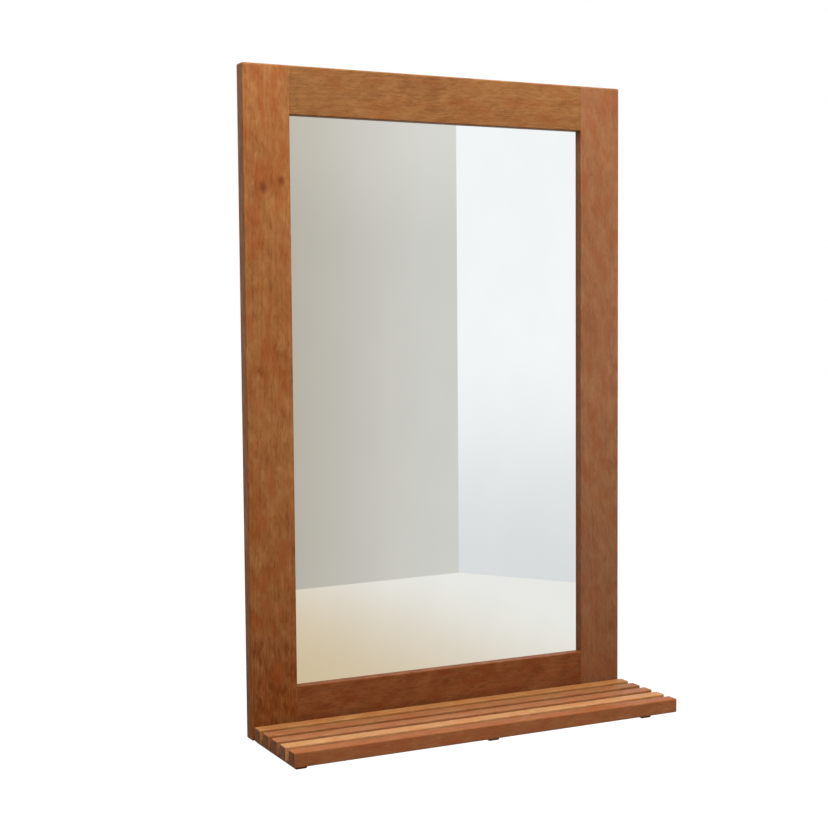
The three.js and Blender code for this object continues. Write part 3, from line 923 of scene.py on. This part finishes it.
def keyhole_plate(node):
    low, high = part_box(node)
    centre = (low.x + high.x) / 2
    plate = ease(block(low, high), PLATE_CORNER, 8, front_to_back)
    ease(plate, STAMPED_ARRIS, 2, lambda middle, way: abs(middle.y - high.y) < TOUCHING and abs(way.y) < 0.1)
    entry_low, entry_high = Vector((centre, -punch, -ENTRY_DROP)), Vector((centre, punch, -ENTRY_DROP))
    entry = bore(entry_low, entry_high, ENTRY_WIDTH / 2, FACING_WALL)
    half = SLOT_WIDTH / 2
    slot = block((centre - half, -punch, -ENTRY_DROP), (centre + half, punch, half))
    ease(slot, SLOT_ROUND, 10, lambda middle, way: front_to_back(middle, way) and middle.z > 0)
    stamp = [entry, as_object(slot, "slot")]
    made = finished(cut(plate, stamp + hole_tools), f"{node}_stamped", [zinc], [node])
    put_away(stamp)
    return made


plates = [keyhole_plate("hanger_plate_left"), keyhole_plate("hanger_plate_right")]
print("plates:", [plate.name for plate in plates])

# %% [markdown]
# ## The shelf
#
# Five slats lie across three bearers. Slat and bearer are both notched where they cross, so each slat
# drops over the bearers like the parts of an egg crate. From the room the front slat hides the bearers'
# ends; from below they show as three feet. The slats' edges are rounded by 1.7 mm, which gives each
# slat its soft bright line, and the bearers' by 2 mm.

# %% Slats
bearers = ["bearer_left", "bearer_middle", "bearer_right"]
slats = ["slat_1", "slat_2", "slat_3", "slat_4", "slat_5"]
SLAT_ARRIS, BEARER_ARRIS = 1.7 * MM, 2 * MM
LAP = 8.5 * MM  # how deep a slat is notched from below
lap_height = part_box("slat_1")[0].z + LAP


def bearer_notch(node):
    """The room that a bearer takes out of the slats above it, up to the lap."""
    low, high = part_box(node)
    return as_object(block((low.x - FIT, low.y - FIT, low.z), (high.x + FIT, 0, lap_height)), "notch")


notch_tools = [bearer_notch(node) for node in bearers]
for node in slats:
    bar = ease(block(*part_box(node)), SLAT_ARRIS, 6, every_edge)
    notched = cut(bar, notch_tools + hole_tools)
    slat = finished(notched, f"{node}_rounded", [wood[node]], [node])
    print(slat.name, len(slat.data.polygons), "faces")
put_away(notch_tools)

# %% Bearers
past_shelf = 0.3  # beyond both ends of the shelf


def slat_notch(node):
    """The room that a slat takes out of the bearers, from the lap upwards."""
    low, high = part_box(node)
    notch_low = (-past_shelf, low.y - FIT, lap_height)
    return as_object(block(notch_low, (past_shelf, high.y + FIT, high.z + beyond)), "notch")


notch_tools = [slat_notch(node) for node in slats]
for node in bearers:
    low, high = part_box(node)
    bar = ease(block(low, high), BEARER_ARRIS, 5, lambda middle, way: middle.y < high.y - TOUCHING)
    notched = cut(bar, notch_tools + hole_tools)
    bearer = finished(notched, f"{node}_notched", [wood["bearers"]], [node])
    print(bearer.name, len(bearer.data.polygons), "faces")
put_away(notch_tools + hole_tools + frame_tools)

# %% [markdown]
# ## Stage
#
# The object hangs in the air above a plain pale floor, as on a wall 90 cm up. There is no wall behind
# it, so that its back can be seen. Far in front of it stand two backdrops that meet in a corner.
# They are there for the mirror: a mirror shows only what is before it, and without them it would be a
# blank. To the mirror, floor and backdrops glow with painted light: a painted glare across the floor,
# one backdrop painted in shade and one glowing, both dimmer towards their feet. The camera's own rays
# see floor and backdrops as white. Only near the object do they also see a little of the floor's real
# paint, which keeps a faint shadow there.

# %% Stage paint
NEAR_SHARE = 0.3  # the part of the shadow's reach in which the real paint counts most
NEAR_WHITE = 0.88  # how much of the camera's view of the floor is plain white there
WHITE_STRENGTH = 1.085  # above 1, to make up for the real paint that is mixed in


def stage_paint(name, mirrored, own_colour, across=None, upward=None, shadow_reach=None):
    """White to the camera, and to the mirror a glow of painted light in one or two tones.

    across: where along X the first mirrored tone gives way to the second.
    upward: (low, high, share): painted light that fades, so the mirrored tone is share as bright below low
    as above high.
    shadow_reach: within this distance of the object, the camera sees a little of the real paint too.
    """
    material, tree, shader = new_material(name)
    rays = add(tree, "LightPath")
    own = add(tree, "TexCoord").outputs["Object"]
    place = add(tree, "SeparateXYZ", {0: own})
    tones = [(*tone, 1) for tone in mirrored]
    # Painted light: to the mirror's rays the stage glows in these tones.
    painted_light_for_mirror = add(tree, "Emission", {"Color": tones[0]})
    if across:
        share = rescale(tree, place.outputs[0], *across)
        tree.links.new(mix_colours(tree, share, *tones), painted_light_for_mirror.inputs["Color"])
    if upward:
        low, high, share = upward
        strength = rescale(tree, place.outputs[2], low, high, share, 1.0)
        tree.links.new(strength, painted_light_for_mirror.inputs["Strength"])
    for_camera = add(tree, "Emission", {"Color": (1, 1, 1, 1)})
    camera_share = rays.outputs["Is Camera Ray"]
    if shadow_reach:
        flat = add(tree, "CombineXYZ", {0: place.outputs[0], 1: place.outputs[1]}).outputs[0]
        far = add(tree, "VectorMath", {0: flat}, operation="LENGTH").outputs["Value"]
        whiteness = rescale(tree, far, shadow_reach * NEAR_SHARE, shadow_reach, NEAR_WHITE, 1.0)
        camera_share = calc(tree, "MULTIPLY", camera_share, whiteness)
        for_camera.inputs["Strength"].default_value = WHITE_STRENGTH
    shader.inputs["Base Color"].default_value = (*own_colour, 1)
    shader.inputs["Roughness"].default_value = 0.9
    to_mirror = {0: rays.outputs["Is Glossy Ray"], 1: shader.outputs[0], 2: painted_light_for_mirror.outputs[0]}
    both = {0: camera_share, 1: add(tree, "MixShader", to_mirror).outputs[0], 2: for_camera.outputs[0]}
    surface = tree.nodes["Material Output"].inputs["Surface"]
    tree.links.new(add(tree, "MixShader", both).outputs[0], surface)
    return material


# The mirrored tones are painted light: a glare across the floor, one backdrop in shade and one glowing.
floor_tone, floor_glare = (0.68, 0.54, 0.35), (0.88, 0.87, 0.84)
shaded_side, glowing_side = (0.540, 0.492, 0.412), (0.74, 0.725, 0.69)
bright_side = (0.97, 0.985, 1.0)
floor_grey, backdrop_grey = (0.4, 0.4, 0.4), (0.6, 0.6, 0.6)
floor_paint = stage_paint(
    "floor_paint", [floor_tone, floor_glare], floor_grey, across=(1.2, 3.0), shadow_reach=3.0)
left_paint = stage_paint(
    "left_backdrop_paint", [shaded_side, glowing_side], backdrop_grey, across=(1.7, 3.0),
    upward=(0.1, 0.7, 0.9))
right_paint = stage_paint(
    "right_backdrop_paint", [bright_side], backdrop_grey, upward=(-1.67, -0.4, 0.78))
print("paints:", floor_paint.name, left_paint.name, right_paint.name)

# %% Floor and backdrops
FLOOR_DROP = 0.9  # from the frame's foot down to the floor
FLOOR_REACH = 20
BACKDROP_TOP = 6.0
floor_z = frame_foot - FLOOR_DROP
corner = Vector((3.028, -5.779, 0))
left_way, left_length = Vector((-0.973, 0.061, 0)), 11
right_way, right_length = Vector((0.392, 0.588, 0)), 8


def stage_sheet(name, corners, material):
    """A flat sheet through four corners."""
    bm = bmesh.new()
    bm.faces.new([bm.verts.new(corner) for corner in corners])
    made = as_object(bm, name)
    made.data.materials.append(material)
    return made


def backdrop(name, start, end, material):
    """An upright sheet from the floor to the backdrops' top."""
    low_edge = [(start.x, start.y, floor_z), (end.x, end.y, floor_z)]
    high_edge = [(end.x, end.y, BACKDROP_TOP), (start.x, start.y, BACKDROP_TOP)]
    return stage_sheet(name, low_edge + high_edge, material)


floor_signs = [(-1, -1), (1, -1), (1, 1), (-1, 1)]
floor_corners = [(FLOOR_REACH * x, FLOOR_REACH * y, floor_z) for x, y in floor_signs]
sheets = [
    stage_sheet("floor", floor_corners, floor_paint),
    backdrop("left_backdrop", corner + left_way * left_length, corner, left_paint),
    backdrop("right_backdrop", corner, corner + right_way * right_length, right_paint),
]
print("stage:", [sheet.name for sheet in sheets], "with the floor at", round(floor_z, 3))

# %% [markdown]
# ## Light
#
# The light is that of a plain studio. An even glow comes from all sides. A large soft lamp hangs high
# above and before the object: it makes the slats' tops the brightest wood of all, keeps the gaps
# between them darker, and fades down the frame. A second lamp, lower and further in front, fills the
# frame's face, a weak one opens up the left side, and one behind the object lights its back.

# %% World and lamps
world = bpy.data.worlds.new("studio")
bpy.context.scene.world = world
world.use_nodes = True
rays = add(world.node_tree, "LightPath")
glow, in_gloss, to_camera = 0.31, 0.7, 1.0
level = add(world.node_tree, "Mix", {0: rays.outputs["Is Glossy Ray"], 2: glow, 3: in_gloss}).outputs[0]
level = add(world.node_tree, "Mix", {0: rays.outputs["Is Camera Ray"], 2: level, 3: to_camera}).outputs[0]
background = world.node_tree.nodes["Background"]
background.inputs["Color"].default_value = (1, 1, 1, 1)
world.node_tree.links.new(level, background.inputs["Strength"])
warm_white, white = (1.0, 0.985, 0.96), (1, 1, 1)


def soft_lamp(name, place, aim, size, power, colour):
    """A square lamp that faces its aim. It is hidden from the mirror, which would show a white square."""
    light = bpy.data.lights.new(name, "AREA")
    light.shape = "SQUARE"
    light.size = size
    light.energy = power
    light.color = colour
    lamp = bpy.data.objects.new(name, light)
    bpy.context.scene.collection.objects.link(lamp)
    lamp.location = place
    lamp.rotation_euler = (Vector(aim) - Vector(place)).to_track_quat("-Z", "Y").to_euler()
    lamp.visible_glossy = False
    return lamp


lamps = [
    soft_lamp("top_lamp", (0.0, -0.7, 1.5), (0, -0.08, -0.5), 0.9, 29.0, warm_white),
    soft_lamp("key_lamp", (0.1, -1.1, 0.9), (0, -0.05, -0.3), 0.9, 19.0, warm_white),
    soft_lamp("left_lamp", (-2.0, -0.7, 0.7), (-0.2, 0, -0.35), 1.2, 3.0, white),
    soft_lamp("back_lamp", (-1.0, 2.2, 1.4), (0, 0, -0.4), 1.6, 34.0, white),
]
for lamp in lamps:
    print(lamp.name, lamp.data.energy, "W")

# %% [markdown]
# ## Camera
#
# The camera stands to the left and a little above the middle of the mirror, and looks slightly down.
# Its place, turn and lens come from fitting the object's known edges to where they lie in the
# photograph. A small lens shift frames the object as the photograph does.

# %% Camera
IMAGE_SIDE = 828  # pixels
focal_pixels = 1562.8
view_middle = (452.0, 428.0)  # pixels
camera_place = (-0.8870, -1.7591, -0.2687)
turn_right, tilt_up, lean = 0.47641, -0.07181, -0.00636  # radians

lens = bpy.data.cameras.new("camera")
lens.sensor_width = 36
lens.lens = focal_pixels / IMAGE_SIDE * lens.sensor_width
lens.shift_x = (IMAGE_SIDE / 2 - view_middle[0]) / IMAGE_SIDE
lens.shift_y = (view_middle[1] - IMAGE_SIDE / 2) / IMAGE_SIDE
camera = bpy.data.objects.new("camera", lens)
bpy.context.scene.collection.objects.link(camera)
turn = Matrix.Rotation(-turn_right, 4, "Z") @ Matrix.Rotation(math.pi / 2 + tilt_up, 4, "X")
camera.matrix_world = Matrix.Translation(camera_place) @ turn @ Matrix.Rotation(lean, 4, "Z")
bpy.context.scene.camera = camera
print("lens", round(lens.lens, 1), "mm, shift", round(lens.shift_x, 3), round(lens.shift_y, 3))

# %% [markdown]
# ## Colour
#
# Standard view transform shows colours as they are written.

# %% Finish
bpy.context.scene.view_settings.view_transform = "Standard"
